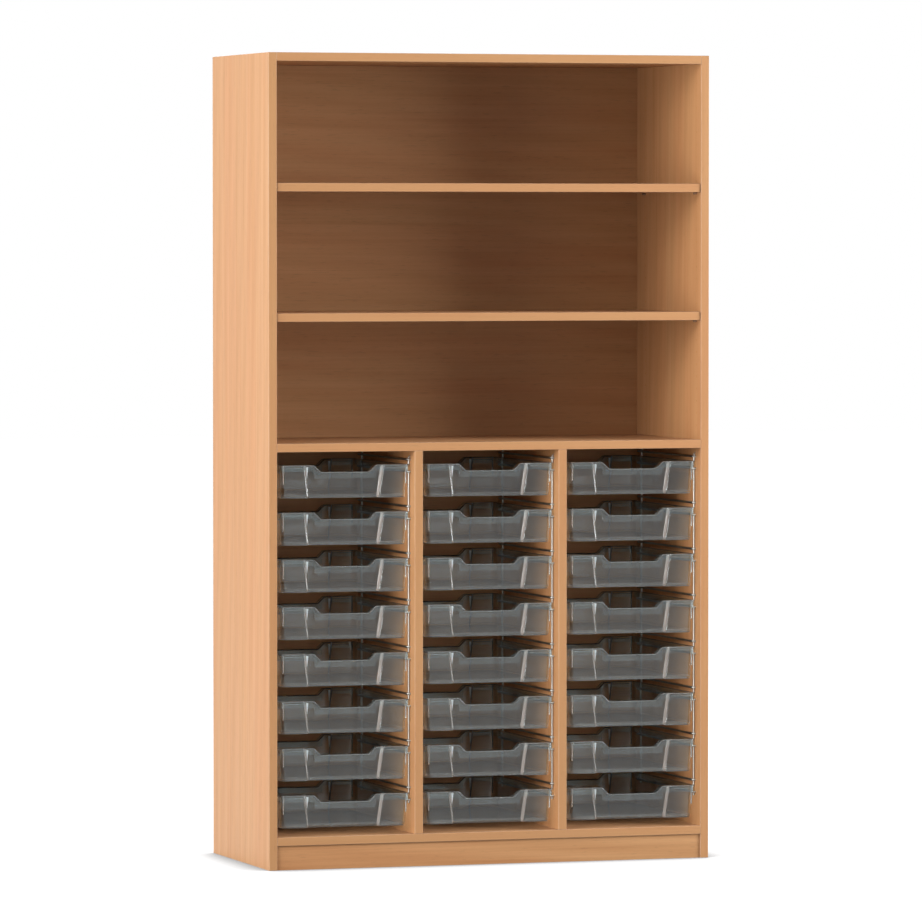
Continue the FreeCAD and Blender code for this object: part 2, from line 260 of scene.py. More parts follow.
class Effects:
    """Node groups that the finishes share, each made once, at its first use."""

    @cached_property
    def beech(self) -> Tree:
        """Beech figure: streaks, fibres and ray flecks along X.

        Returns:
            The group's tree.
        """
        desk, have, give = effect_group(
            "Beech figure",
            {"Place": None, "Streaks": 0.5, "Flecks": 0.3, "Pale": (0.8, 0.5, 0.3),
             "Deep": (0.6, 0.3, 0.2)},
            {"Colour": "Color", "Height": "Float", "Sheen": "Float"})
        place = have["Place"]
        drift = desk.noise(place, (0.8, 4.0, 4.0), 2.0)
        sway = desk.times(desk.sum("SUBTRACT", drift, 0.5), 0.02)
        swayed = desk.add("VectorMath", {0: place, 1: sway}, operation="ADD").outputs[0]
        broad = desk.noise(swayed, (0.6, 9.0, 9.0), 3.0)
        streak = desk.noise(swayed, (0.9, 100.0, 100.0), 4.0, 0.62)
        line = desk.noise(swayed, (3.5, 230.0, 230.0), 3.0, 0.6)
        growth = {"Vector": desk.stretch(swayed, (0.12, 1.0, 1.0)), "Scale": 11.0,
                  "Distortion": 6.0, "Detail": 2.0, "Detail Scale": 0.6}
        rings = desk.add("TexWave", growth, bands_direction="DIAGONAL").outputs[1]
        fibre = desk.noise(place, (14.0, 620.0, 620.0), 2.0)
        fleck = desk.between(desk.noise(place, (34.0, 420.0, 420.0), 1.0), 0.60, 0.76)
        tone = desk.times(broad, 0.26)
        for layer, weight in ((streak, 0.36), (line, 0.20), (rings, 0.08), (fibre, 0.10)):
            tone = desk.plus(tone, desk.times(layer, weight))
        leaning = desk.times(desk.sum("SUBTRACT", tone, 0.5), have["Streaks"])
        share = desk.add("Math", {0: leaning, 1: 0.5}, operation="ADD", use_clamp=True)
        wood = desk.blend(share.outputs[0], have["Deep"], have["Pale"])
        blush = desk.between(desk.noise(place, (0.9, 14.0, 14.0), 2.0), 0.38, 0.66)
        wood = desk.blend(blush, wood, (1.0, 0.945, 0.93), "MULTIPLY")
        marked = desk.times(fleck, have["Flecks"])
        desk.fill(give, {
            "Colour": desk.blend(marked, wood, (0.62, 0.58, 0.55), "MULTIPLY"),
            "Height": desk.sum("SUBTRACT", desk.times(fibre, 0.6), desk.times(fleck, 0.4)),
            "Sheen": desk.between(streak, 0.3, 0.7, 0.05, -0.05)})
        return desk.tree

    @cached_property
    def eased(self) -> Tree:
        """Rounded edges, paler in patches: a painted highlight along them.

        Returns:
            The group's tree.
        """
        desk, have, give = effect_group(
            "Eased edge",
            {"Colour": (0.5, 0.5, 0.5), "Place": None, "Edge": 0.0, "Paleness": 0.3},
            {"Colour": "Color"})
        cloud = desk.noise(have["Place"], (18.0, 18.0, 18.0), 4.0)
        patchy = desk.between(cloud, 0.35, 0.7, 0.55, 1.0)
        # Painted highlight: the rounded edges are paled towards a warm white, in patches.
        edge_highlight = desk.times(desk.times(have["Edge"], patchy), have["Paleness"])
        desk.fill(give, {"Colour": desk.blend(edge_highlight, have["Colour"], (1.0, 0.88, 0.72))})
        return desk.tree

    @cached_property
    def dust(self) -> Tree:
        """Thin dust that settles where a face looks up.

        Returns:
            The group's tree.
        """
        desk, have, give = effect_group(
            "Settled dust",
            {"Colour": (0.5, 0.5, 0.5), "Place": None, "Amount": 0.1},
            {"Colour": "Color", "Cover": "Float"})
        normal = desk.add("NewGeometry").outputs["Normal"]
        lying = desk.between(desk.add("SeparateXYZ", {0: normal}).outputs[2], 0.5, 1.0)
        cloud = desk.noise(have["Place"], (31.0, 31.0, 31.0), 6.0, 0.7)
        cover = desk.times(desk.times(lying, cloud), have["Amount"])
        dusted = desk.blend(cover, have["Colour"], (0.62, 0.60, 0.57))
        desk.fill(give, {"Colour": dusted, "Cover": cover})
        return desk.tree

    @cached_property
    def moulded(self) -> Tree:
        """Moulded plastic: faint flow marks, fine haze and hair scratches.

        Returns:
            The group's tree.
        """
        desk, have, give = effect_group(
            "Moulded plastic",
            {"Place": None, "Tint": (0.8, 0.8, 0.8), "Haze": 0.1, "Scratches": 0.3},
            {"Colour": "Color", "Roughness": "Float", "Height": "Float"})
        place = have["Place"]
        flow = desk.noise(place, (5.0, 5.0, 16.0), 3.0)
        fine = desk.noise(place, (420.0, 420.0, 420.0), 2.0)
        hair = desk.noise(place, (36.0, 210.0, 900.0), 3.0)
        scratch = desk.times(desk.between(hair, 0.66, 0.72), have["Scratches"])
        clouding = {0: have["Tint"], "Scale": desk.between(flow, 0.3, 0.7, 0.94, 1.0)}
        rough = desk.plus(have["Haze"], desk.times(fine, 0.04))
        desk.fill(give, {
            "Colour": desk.add("VectorMath", clouding, operation="SCALE").outputs[0],
            "Roughness": desk.plus(rough, desk.times(scratch, 0.15)),
            "Height": desk.plus(desk.times(flow, 0.7), desk.times(fine, 0.3))})
        return desk.tree

    @cached_property
    def handled(self) -> Tree:
        """Plated steel: drawing marks, dull patches and faint stains.

        Returns:
            The group's tree.
        """
        desk, have, give = effect_group(
            "Handled metal",
            {"Place": None, "Metal": (0.8, 0.8, 0.8), "Stain": (0.4, 0.38, 0.35),
             "Polish": 0.12},
            {"Colour": "Color", "Roughness": "Float", "Height": "Float"})
        patch = desk.noise(have["Place"], (60.0, 60.0, 60.0), 4.0)
        drawn = desk.noise(have["Place"], (900.0, 40.0, 900.0), 2.0)
        stained = desk.times(desk.between(patch, 0.55, 0.8), 0.35)
        dull = desk.plus(desk.times(patch, 0.10), desk.times(drawn, 0.06))
        desk.fill(give, {
            "Colour": desk.blend(stained, have["Metal"], have["Stain"]),
            "Roughness": desk.plus(dull, have["Polish"]), "Height": drawn})
        return desk.tree


effects = Effects()


# -------------------------------------------------------------- finishes
@dataclass(frozen=True)
class BeechFinish:
    """Lacquered beech decor on one board."""

    name: str
    grain: Grain
    shift: Triple
    pale: Colour = paint(240, 183, 128)
    deep: Colour = paint(216, 153, 100)
    streaks: float = 2.2
    flecks: float = 0.30
    roughness: float = 0.45
    paleness: float = 0.35
    dust: float = 0.10
    bounce_loss: float = 0.57
    bounce: Colour = (0.03, 0.10, 0.16)
    lacquer_ior: float = 1.46
    relief: float = 0.3 * MM

    def material(self) -> Material:
        """Build the finish.

        Returns:
            The material.
        """
        material, desk, shader, place = new_material(self.name)
        turn = {"Vector": place, "Location": self.shift, "Rotation": self.grain.value}
        along = desk.add("Mapping", turn).outputs[0]
        figure = desk.effect(effects.beech, Place=along, Streaks=self.streaks,
                             Flecks=self.flecks, Pale=self.pale, Deep=self.deep)
        # The rounded edges are painted paler: a painted highlight.
        edge = desk.add("Attribute", attribute_name="eased").outputs["Fac"]
        eased = desk.effect(effects.eased, Colour=figure["Colour"], Place=along,
                            Edge=edge, Paleness=self.paleness)
        dusty = desk.effect(effects.dust, Colour=eased["Colour"], Place=along,
                            Amount=self.dust)
        is_bounce = desk.add("LightPath").outputs["Is Diffuse Ray"]
        bounced = desk.times(is_bounce, self.bounce_loss)
        sheen = desk.plus(figure["Sheen"], self.roughness)
        desk.fill(shader, {
            "Base Color": desk.blend(bounced, dusty["Colour"], self.bounce),
            "Roughness": desk.plus(sheen, desk.times(dusty["Cover"], 0.5)),
            "IOR": self.lacquer_ior,
            "Normal": desk.bump(figure["Height"], 0.12, self.relief)})
        return material


@dataclass(frozen=True)
class TrayPlastic:
    """Clear smoky plastic of the trays."""

    name: str
    tint: Colour
    haze: float
    transmission: float
    light_let_by: float = 0.95
    scratches: float = 0.4
    ior: float = 1.44
    relief: float = 0.2 * MM

    def material(self) -> Material:
        """Build the finish.

        Returns:
            The material.
        """
        material, desk, shader, place = new_material(self.name)
        moulded = desk.effect(effects.moulded, Place=place, Tint=self.tint,
                              Haze=self.haze, Scratches=self.scratches)
        path = desk.add("LightPath").outputs
        unseen = desk.sum("MAXIMUM", path["Is Shadow Ray"], path["Is Diffuse Ray"])
        desk.fill(shader, {
            "Base Color": moulded["Colour"], "Roughness": moulded["Roughness"],
            "IOR": self.ior, "Transmission Weight": self.transmission,
            "Normal": desk.bump(moulded["Height"], 0.05, self.relief),
            "Alpha": desk.sum("SUBTRACT", 1.0, desk.times(unseen, self.light_let_by))})
        return material


@dataclass(frozen=True)
class PlatedSteel:
    """Plated steel of the bright wires, and of the shelf pins, whose dark brown is painted shade.
    """

    name: str
    metal: Colour
    polish: float
    relief: float = 0.1 * MM

    def material(self) -> Material:
        """Build the finish.

        Returns:
            The material.
        """
        material, desk, shader, place = new_material(self.name)
        handled = desk.effect(
            effects.handled, Place=place, Metal=self.metal, Polish=self.polish)
        desk.fill(shader, {
            "Base Color": handled["Colour"], "Roughness": handled["Roughness"],
            "Metallic": 1.0, "Normal": desk.bump(handled["Height"], 0.05, self.relief)})
        return material


# ------------------------------------------------------------- mesh work
def only(*pieces: Piece) -> None:
    """Select some objects and nothing else.

    Args:
        pieces: the objects, the first one made active.
    """
    bpy.ops.object.select_all(action="DESELECT")
    for piece in pieces:
        piece.select_set(True)
    bpy.context.view_layer.objects.active = pieces[0]


class Bench:
    """One mesh in edit mode, with its parts picked by place or normal."""

    def __init__(self, piece: Piece) -> None:
        """Put a piece on the bench."""
        self.piece = piece

    @contextmanager
    def work(self) -> Iterator["Bench"]:
        """Stay in edit mode for the length of a with block.

        Returns:
            The bench, for the block.
        """
        only(self.piece)
        bpy.ops.object.mode_set(mode="EDIT")
        yield self
        bpy.ops.object.mode_set(mode="OBJECT")

    def pick(self, kind: str, test: Callable[[object], bool]) -> None:
        """Select every vertex, edge or face that passes a test.

        Args:
            kind: VERT, EDGE or FACE.
            test: takes the bmesh element and says whether it is picked.
        """
        bpy.ops.mesh.select_mode(type=kind)
        bpy.ops.mesh.select_all(action="DESELECT")
        grid = bmesh.from_edit_mesh(self.piece.data)
        grid.normal_update()
        elements = {"VERT": grid.verts, "EDGE": grid.edges, "FACE": grid.faces}[kind]
        for element in [element for element in elements if test(element)]:
            element.select_set(True)
        grid.select_flush_mode()
        bmesh.update_edit_mesh(self.piece.data)

    def pick_open_edge(self) -> None:
        """Select the edges with a face on one side only."""
        self.pick("EDGE", lambda edge: edge.is_boundary)

    def pull(self, x: float = 0.0, y: float = 0.0, z: float = 0.0) -> None:
        """Move what is picked."""
        bpy.ops.transform.translate(value=(x, y, z))

    def swell(self, x: float, y: float, centre: Vector) -> None:
        """Scale what is picked in plan, about a centre."""
        bpy.ops.transform.resize(value=(x, y, 1.0), center_override=centre)

    def grow(self, x: float = 0.0, y: float = 0.0, z: float = 0.0) -> None:
        """Extrude what is picked."""
        bpy.ops.mesh.extrude_region_move(TRANSFORM_OT_translate={"value": (x, y, z)})

    def ease(self, width: float, steps: int, affect: str = "EDGES") -> None:
        """Round the picked EDGES, or the VERTICES of an outline, in some steps."""
        bpy.ops.mesh.bevel(offset=width, segments=steps, affect=affect)

    def dress(self, part: TrayPart) -> None:
        """Give the picked faces the finish of one part of a tray."""
        self.piece.active_material_index = part.value
        bpy.ops.object.material_slot_assign()


def finish(piece: Piece, kind: str, **settings: object) -> None:
    """Add one modifier and apply it.

    Args:
        piece: the object.
        kind: Blender's name for the modifier.
        settings: the modifier's settings.
    """
    only(piece)
    modifier = piece.modifiers.new(kind.lower(), kind)
    for name, value in settings.items():
        setattr(modifier, name, value)
    bpy.ops.object.modifier_apply(modifier=modifier.name)


def taken_up(scale: Triple | Vector = (1.0, 1.0, 1.0)) -> Piece:
    """Take up the primitive just added, and write its place into its mesh.

    Args:
        scale: how much larger it becomes along each axis.

    Returns:
        The piece, at the origin, unturned and unscaled.
    """
    piece = bpy.context.object
    piece.scale = scale
    only(piece)
    bpy.ops.object.transform_apply(location=True, rotation=True, scale=True)
    return piece


def smooth(piece: Piece, degrees: float) -> None:
    """Shade smooth across edges flatter than an angle."""
    only(piece)
    bpy.ops.object.shade_smooth_by_angle(angle=math.radians(degrees))


def copied(pattern: Piece, name: str, place: Vector) -> Piece:
    """Copy a finished piece, with a mesh of its own, to another place.

    Args:
        pattern: the piece that is copied.
        name: the copy's name.
        place: how far the copy's mesh is moved.

    Returns:
        The copy, at the origin.
    """
    twin = bpy.data.objects.new(name, pattern.data.copy())
    twin.data.transform(Matrix.Translation(place))
    twin.data.name = name
    bpy.context.scene.collection.objects.link(twin)
    return twin


def joined(pieces: list[Piece], name: str) -> Piece:
    """Join pieces into one object.

    Args:
        pieces: what goes in, the first one keeping its materials' order.
        name: the joined piece's name.

    Returns:
        The joined piece.
    """
    only(*pieces)
    bpy.ops.object.join()
    pieces[0].name = pieces[0].data.name = name
    return pieces[0]


def discard(piece: Piece) -> None:
    """Delete a pattern once its copies stand."""
    bpy.data.objects.remove(piece)


# ---------------------------------------------------------------- boards
@dataclass
class BoardWork:
    """The boards of the carcass, copied from the frame and eased."""

    ease: float = 0.5 * MM
    band_ease: float = 0.9 * MM
    hole: float = 5.0 * MM
    hole_depth: float = 9.0 * MM
    hole_pitch: float = 28.0 * MM
    upper_pin: float = 1.5255
    lower_pin: float = 1.2325
    holes_below: int = 19
    holes_above: int = 9
    front_row: float = 0.030
    rear_row: float = 0.060
    plinth_streaks: float = 3.6

    UPRIGHT_BOARDS = ("left_side_panel", "right_side_panel", "left_partition", "right_partition")
    BANDED_BOARDS = ("top_panel", "middle_panel", "bottom_panel", "lower_shelf", "upper_shelf")
    PLAIN_BOARDS = ("back_panel", "front_plinth", "rear_plinth")

    def eased_copy(self, node: str, width: float) -> Piece:
        """Copy a board from the frame, round its outer edges and mark them.

        Args:
            node: the CAD node.
            width: how far the rounding reaches.

        Returns:
            The new board.
        """
        board = bpy.data.objects.new(node + "_board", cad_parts[node].data.copy())
        board.data.materials.clear()
        bpy.context.scene.collection.objects.link(board)
        low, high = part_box(node)
        with Bench(board).work() as bench:
            bpy.ops.mesh.select_all(action="SELECT")
            bpy.ops.mesh.remove_doubles(threshold=0.02 * MM)
            bpy.ops.mesh.dissolve_limited(angle_limit=math.radians(1.0))

            def outer(edge: Edge) -> bool:
                """Says whether an edge runs along the board's own outline.

                Args:
                    edge: an edge of the board.

                Returns:
                    True where the edge lies on two sides of the board's box.
                """
                sides = 0
                for axis in range(3):
                    ends = [vertex.co[axis] for vertex in edge.verts]
                    for face_at in (low[axis], high[axis]):
                        sides += all(abs(end - face_at) < TOUCH / 2 for end in ends)
                return sides == 2

            bench.pick("EDGE", outer)
            bench.ease(width, 2)
        # Mark the rounded faces, which the finish paints paler as a highlight.
        turned = [max(abs(part) for part in face.normal) < 0.99 for face in board.data.polygons]
        layer = board.data.attributes.new("eased", "FLOAT", "FACE")
        layer.data.foreach_set("value", [float(mark) for mark in turned])
        return board

    def drill_pin_rows(self, panel: Piece, node: str, inward: int) -> None:
        """Drill the two rows of shelf-pin holes in a side panel.

        Args:
            panel: the panel's piece.
            node: its CAD node.
            inward: 1 where the inner face looks along +X, else -1.
        """
        low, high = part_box(node)
        face_x = high.x if inward > 0 else low.x
        front_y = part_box("top_panel_edge_band")[0].y + self.front_row
        rear_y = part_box("back_panel")[0].y - self.rear_row
        bpy.ops.mesh.primitive_cylinder_add(
            vertices=12, radius=self.hole / 2, depth=2 * self.hole_depth,
            location=(face_x, 0, 0), rotation=(0, math.pi / 2, 0))
        drill = taken_up()
        drills = []
        for step in range(-self.holes_below, self.holes_above + 1):
            z = self.upper_pin + step * self.hole_pitch
            if min(abs(z - self.upper_pin), abs(z - self.lower_pin)) >= self.hole_pitch / 2:
                drills += [copied(drill, "drill", Vector((0, y, z))) for y in (front_y, rear_y)]
        discard(drill)
        gang = joined(drills, "drills")
        finish(panel, "BOOLEAN", operation="DIFFERENCE", solver="EXACT", object=gang)
        discard(gang)

    def build(self) -> int:
        """Make and dress every board and band.

        Returns:
            How many pieces were made.
        """
        boards = [(node, Grain.UPRIGHT) for node in self.UPRIGHT_BOARDS]
        boards += [(node, Grain.LEVEL) for node in self.BANDED_BOARDS + self.PLAIN_BOARDS]
        for number, (node, grain) in enumerate(boards):
            shift = (0.37 * number, 0.61 * number, 0.23 * number)
            board = self.eased_copy(node, self.ease)
            if node.endswith("side_panel"):
                self.drill_pin_rows(board, node, 1 if node.startswith("left") else -1)
            name = "Beech " + node.replace("_", " ")
            streaks = self.plinth_streaks if node.endswith("plinth") else BeechFinish.streaks
            decor = BeechFinish(name, grain, shift, streaks=streaks)
            self.install(board, decor.material(), node)
            if node not in self.PLAIN_BOARDS:
                band_node = node + "_edge_band"
                band = self.eased_copy(band_node, self.band_ease)
                decor = BeechFinish(
                    name + " band", grain, shift, pale=paint(239, 184, 129),
                    deep=paint(221, 158, 106), streaks=1.4, flecks=0.2, roughness=0.4,
                    paleness=0.2)
                self.install(band, decor.material(), band_node)
        return 2 * len(boards) - len(self.PLAIN_BOARDS)

    def install(self, piece: Piece, decor: Material, node: str) -> None:
        """Dress a piece and let it stand for its node, on the cabinet.

        Args:
            piece: the board or band.
            decor: its material.
            node: the CAD node.
        """
        finish(piece, "WEIGHTED_NORMAL", weight=100)
        piece.data.materials.append(decor)
        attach(piece, "cabinet")
        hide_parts(node)


@dataclass
class ShelfPins:
    """Round steel pins under the loose shelves."""

    diameter: float = 5.0 * MM
    length: float = 17.0 * MM
    chamfer: float = 0.6 * MM
    # The pins' dark brown paints them into the shade under the shelves.
    steel: PlatedSteel = PlatedSteel("Pin steel in painted shade", (0.36, 0.24, 0.16), 0.36)

    CELLS_PER_METRE = 5

    def build(self) -> Piece:
        """Turn one pin, and set a copy at each place in the frame.

        Returns:
            The group of pins.
        """
        pattern = self.turned_pin()
        pins = []
        for low, high in self.pin_boxes():
            place = Vector((low.x, (low.y + high.y) / 2, (low.z + high.z) / 2))
            pins.append(copied(pattern, "pin", place))
        discard(pattern)
        group = joined(pins, "steel_shelf_pins")
        group.data.materials.append(self.steel.material())
        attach(group, "cabinet")
        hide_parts("shelf_pins")
        return group

    def turned_pin(self) -> Piece:
        """Turn a pin with chamfered ends.

        Returns:
            The pin, along X from the origin.
        """
        bpy.ops.mesh.primitive_cylinder_add(
            vertices=16, radius=self.diameter / 2, depth=self.length,
            location=(self.length / 2, 0, 0), rotation=(0, math.pi / 2, 0))
        pin = taken_up()
        with Bench(pin).work() as bench:
            bench.pick("EDGE", lambda e: abs(e.verts[0].co.x - e.verts[1].co.x) < TOUCH)
            bench.ease(self.chamfer, 2)
        smooth(pin, 40.0)
        return pin

    def pin_boxes(self) -> list[tuple[Vector, Vector]]:
        """The box of each separate pin in the frame's node.

        Returns:
            Low and high corners, one pair to a pin.
        """
        corners: dict[tuple[bool, int, int], list[Vector]] = {}
        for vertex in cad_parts["shelf_pins"].data.vertices:
            spot = vertex.co
            row, level = (round(at * self.CELLS_PER_METRE) for at in (spot.y, spot.z))
            corners.setdefault((spot.x > 0, row, level), []).append(spot.copy())
        return [tuple(Vector(pick(spot[axis] for spot in spots) for axis in range(3))
                      for pick in (min, max)) for spots in corners.values()]


# ----------------------------------------------------------------- trays
@dataclass
class TrayMould:
    """A shallow clear tray: body with finger recesses, dipped rim, skirt.

    It is moulded with the top of its rim at z = 0 and its middle at the
    origin. The modelled skin is the one that the hand touches: inside the
    body, over the rim and down the outside of the skirt.
    """

    width: float = 312.0 * MM
    depth: float = 427.0 * MM
    height: float = 75.0 * MM
    wall: float = 2.0 * MM
    taper: float = 3.0 * MM
    rim_width: float = 6.0 * MM
    rim_radius: float = 14.0 * MM
    rim_ease: float = 2.1 * MM
    mouth_ease: float = 2.3 * MM
    body_radius: float = 12.0 * MM
    skirt: float = 15.0 * MM
    dip: float = 15.5 * MM
    dip_flat: float = 57.0 * MM
    dip_slope: float = 16.0 * MM
    shoulder_radius: float = 8.0 * MM
    foot_radius: float = 4.0 * MM
    recess_depth: float = 14.0 * MM
    recess_half: float = 94.0 * MM
    recess_narrowing: float = 10.0 * MM
    recess_flare: float = 3.3 * MM
    recess_radius: float = 2.5 * MM
    corner_growth: float = 2.6
    floor_margin: float = 2.0 * MM
    floor_lift: float = 0.6 * MM
    foot: float = 5.0 * MM
    foot_step: float = 1.0 * MM
    rib: float = 41.0 * MM
    rib_inset: float = 11.4 * MM
    rib_reach: float = 7.0 * MM
    rib_lean: float = 2.0 * MM
    bead_drop: float = 6.9 * MM
    bead_start: float = 96.0 * MM
    bead_width: float = 0.9 * MM
    bead_height: float = 1.2 * MM
    # The near-white cones that paint a highlight in the recess corners.
    highlight_drop: float = 25.0 * MM
    drop_start: float = 5.0 * MM
    drop_radius: float = 3.0 * MM
    drop_x: float = 84.5 * MM
    bench: Bench = field(init=False)

    FINISHES = (
        TrayPlastic("Clear tray plastic", (0.86, 0.93, 0.945), 0.03, 1.0),
        # Paler, hazier plastic on edges, ribs and beads: a painted highlight.
        TrayPlastic("Tray plastic edge", (0.78, 0.80, 0.78), 0.12, 0.78),
        # Beige, hazier plastic on the recess flanks: a painted highlight.
        TrayPlastic("Tray plastic flank", (0.86, 0.80, 0.75), 0.14, 0.70),
        # Near-white plastic for the cones in the recess corners: a painted highlight.
        TrayPlastic("Tray plastic drop", (0.97, 0.97, 0.96), 0.20, 0.0),
    )

    # Limits that tell the parts of the half-made tray apart.
    NEAR_RECESS_X = (0.05, 0.11)
    FLANK_X = (0.07, 0.105)
    FLANK_Y = (0.18, 0.20)
    SIDES_X = 0.12
    ENDS_Y = 0.16
    END_WALLS_Y = 0.17
    END_SKIRT_Y = 0.20
    FOOT_Z = -0.06
    MOUTH_Z = -0.03
    TURNED_DOWN = 60.0

    def mould(self) -> Piece:
        """Model one tray.

        Returns:
            The pattern that every tray is copied from.
        """
        tray = self.floor_blank()
        for plastic in self.FINISHES:
            tray.data.materials.append(plastic.material())
        with Bench(tray).work() as self.bench:
            self.raise_walls()
            self.turn_out_rim()
            self.press_dips()
            self.drop_skirt()
            self.round_edges()
        # The cut edges of the wall take the paler edge finish, a painted highlight.
        finish(tray, "SOLIDIFY", thickness=self.wall, offset=-1.0, use_even_offset=True,
               material_offset_rim=TrayPart.EDGE.value)
        plastics = tray.data.materials
        # Ribs and beads come in the paler edge finish, which paints highlight lines.
        tray = joined([tray] + self.ribs(plastics[TrayPart.EDGE.value]), "tray_pattern")
        finish(tray, "BEVEL", width=0.35 * MM, segments=1, limit_method="ANGLE",
               angle_limit=math.radians(self.TURNED_DOWN))
        plastics = tray.data.materials
        # Near-white cones paint a highlight in a corner of each recess.
        tray = joined([tray] + self.highlight_drops(plastics[TrayPart.HIGHLIGHT_DROP.value]), "tray_pattern")
        smooth(tray, 35.0)
        return tray

    def floor_blank(self) -> Piece:
        """Cut the floor's outline, recesses and rounded corners and all.

        Returns:
            A flat blank at the inside of the floor.
        """
        inset = self.rim_width + self.taper + self.wall + self.foot_step
        half_x = self.width / 2 - inset
        half_y = self.depth / 2 - inset
        mouth = self.recess_half - self.recess_narrowing + self.wall
        bed_y = half_y - self.recess_depth
        bpy.ops.mesh.primitive_plane_add(size=2.0, location=(0, 0, self.wall - self.height))
        blank = taken_up((half_x, half_y, 1.0))
        with Bench(blank).work() as bench:
            for across, reach in (((1, 0, 0), mouth), ((0, 1, 0), bed_y)):
                for side in (-1, 1):
                    bpy.ops.mesh.select_all(action="SELECT")
                    bpy.ops.mesh.bisect(plane_co=Vector(across) * side * reach, plane_no=across)

            def in_recess(face: Face) -> bool:
                """Says whether a face lies in a finger recess."""
                middle = face.calc_center_median()
                return abs(middle.x) < mouth and abs(middle.y) > bed_y

            bench.pick("FACE", in_recess)
            bpy.ops.mesh.delete(type="FACE")
            bpy.ops.mesh.select_all(action="SELECT")
            bpy.ops.mesh.dissolve_limited(angle_limit=math.radians(1.0))
            for side in (-1, 1):
                bench.pick("VERT", lambda v: abs(v.co.x - side * mouth) < MM
                           and abs(abs(v.co.y) - bed_y) < MM)
                bench.pull(x=-side * self.recess_flare)
            bench.pick("VERT", lambda v: abs(v.co.x) > half_x - MM and abs(v.co.y) > half_y - MM)
            bench.ease(self.body_radius, 7, "VERTICES")
            bench.pick("VERT", lambda v: abs(v.co.x) < mouth + MM)
            bench.ease(self.recess_radius, 3, "VERTICES")
        return blank

    def raise_walls(self) -> None:
        """Raise the stacking foot and the leaning walls from the floor."""
        bench = self.bench
        foot_top = self.wall - self.height + self.foot
        bench.pick("FACE", lambda face: True)
        bpy.ops.mesh.inset(thickness=self.floor_margin, depth=0.0)
        bench.pull(z=self.floor_lift)
        bench.pick_open_edge()
        bench.grow(z=self.foot)
        self.spread(foot_top, self.foot_step)
        bench.pick_open_edge()
        bench.grow(z=-foot_top)
        self.spread(0.0, self.taper)
        near, far = self.NEAR_RECESS_X
        for side in (-1, 1):
            bench.pick("VERT", lambda v: v.co.z > -MM and near < side * v.co.x < far)
            bench.pull(x=side * self.recess_narrowing)
        self.open_corners()

    def open_corners(self) -> None:
        """Widen the rounding of each recess's inner corners towards the rim."""
        corner_x = self.recess_half + self.wall - self.recess_flare
        corner_y = self.depth / 2 - self.rim_width - self.wall - self.recess_depth
        near = 6.0 * MM
        for side_x in (-1, 1):
            for side_y in (-1, 1):
                corner = Vector((side_x * corner_x, side_y * corner_y, 0))
                self.bench.pick("VERT", lambda v: v.co.z > -MM and (v.co - corner).length < near)
                self.bench.swell(self.corner_growth, self.corner_growth, corner)

    def spread(self, level: float, reach: float) -> None:
        """Move the outline at one level outwards, front, back and sides.

        Args:
            level: z of the outline.
            reach: how far it moves.
        """
        for side in (-1, 1):
            self.bench.pick("VERT", lambda v: abs(v.co.z - level) < MM
                            and side * v.co.x > self.SIDES_X)
            self.bench.pull(x=side * reach)
            self.bench.pick("VERT", lambda v: abs(v.co.z - level) < MM
                            and side * v.co.y > self.ENDS_Y)
            self.bench.pull(y=side * reach)

    def turn_out_rim(self) -> None:
        """Turn the rim out from the top of the walls to its own outline."""
        bench = self.bench
        lift = 5.0 * MM
        bench.pick_open_edge()
        bench.grow(z=lift)
        inset = self.rim_width + self.wall + self.body_radius
        inner_x = self.width / 2 - inset
        inner_y = self.depth / 2 - inset
        swell = self.rim_radius / self.body_radius
        for side in (-1, 1):
            bench.pick("VERT", lambda v: v.co.z > TOUCH and side * v.co.y > self.ENDS_Y
                       and abs(v.co.x) < inner_x - MM)
            bench.swell(1.0, 0.0, Vector((0, side * self.depth / 2, 0)))
            for end in (-1, 1):
                bench.pick("VERT", lambda v: v.co.z > TOUCH and side * v.co.y > self.ENDS_Y
                           and end * v.co.x > inner_x - MM)
                bench.pull(x=end * self.rim_width, y=side * self.rim_width)
                bench.swell(swell, swell, Vector((end * (inner_x + self.rim_width),
                                                  side * (inner_y + self.rim_width), 0)))
        bench.pick("VERT", lambda v: v.co.z > TOUCH)
        bench.pull(z=-lift)

    def dip_profile(self) -> list[tuple[float, float]]:
        """Half of the dip as stations, from its level floor out.

        Returns:
            Pairs of distance from the middle and height below the rim.
        """
        lean = math.atan2(self.dip, self.dip_slope)
        stations = []
        reach = self.foot_radius * math.tan(lean / 2)
        for step in range(4):
            turn = lean * step / 3
            x = self.dip_flat - reach + self.foot_radius * math.sin(turn)
            stations.append((x, self.foot_radius * (1 - math.cos(turn)) - self.dip))
        reach = self.shoulder_radius * math.tan(lean / 2)
        for step in range(5):
            turn = lean * (4 - step) / 4
            x = self.dip_flat + self.dip_slope + reach - self.shoulder_radius * math.sin(turn)
            stations.append((x, self.shoulder_radius * (math.cos(turn) - 1)))
        return stations

    def press_dips(self) -> None:
        """Lower the rim in the middle of the front and of the back."""
        bench = self.bench
        stations = self.dip_profile()
        for x, _ in stations:
            for side in (-1, 1):
                bench.pick("FACE", lambda f: abs(f.calc_center_median().y) > self.END_WALLS_Y
                           and f.calc_center_median().z > self.FOOT_Z)
                bpy.ops.mesh.bisect(plane_co=(side * x, 0, 0), plane_no=(1, 0, 0))
        for x, z in stations:
            bench.pick("VERT", lambda v: v.co.z > -TOUCH and abs(abs(v.co.x) - x) < TOUCH / 10)
            if z < -TOUCH / 10:
                bench.pull(z=z)

